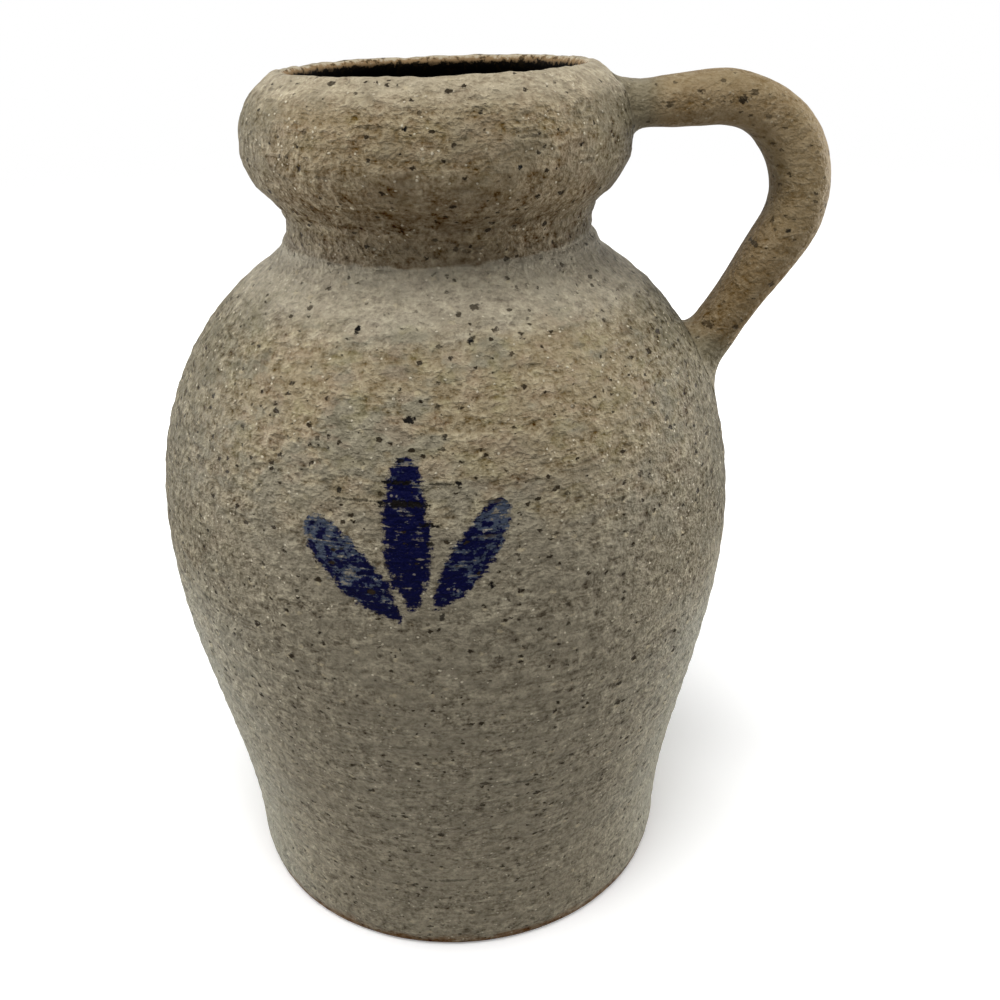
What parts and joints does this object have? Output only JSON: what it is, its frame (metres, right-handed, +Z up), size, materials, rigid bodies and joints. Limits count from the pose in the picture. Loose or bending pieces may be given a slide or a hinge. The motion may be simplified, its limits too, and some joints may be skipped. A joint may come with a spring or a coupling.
{
  "type": "earthenware jug",
  "caption": "Hand-thrown clay jug: swelling body, short neck, hollow rolled collar, looped side handle and a brushed three-leaf sprig.",
  "frame": {"origin": "centre of the flat underside", "axes": "+Z up along the thrown axis, +X out through the handle, -Y out through the brushed sprig"},
  "size_m": [0.1732, 0.1515, 0.2207],
  "materials": {
    "grog_clay": "coarse grogged clay under a thin semi-matt salt-grey glaze, pitted and dragged",
    "handle_clay": "smoother pulled clay, warm brown, satin",
    "wiped_slip": "wiped slip under pooled grey-green glaze, satin",
    "cobalt_slip": "brushed cobalt blue, dry at the edges"
  },
  "bodies": {
    "root": {"body": "grog_clay", "collar": "grog_clay", "neck_lute": "wiped_slip", "handle": "handle_clay", "upper_handle_lute": "wiped_slip", "lower_handle_lute": "wiped_slip", "leaf_stroke_left": "cobalt_slip", "leaf_stroke_centre": "cobalt_slip", "leaf_stroke_right": "cobalt_slip"}
  },
  "joints": []
}
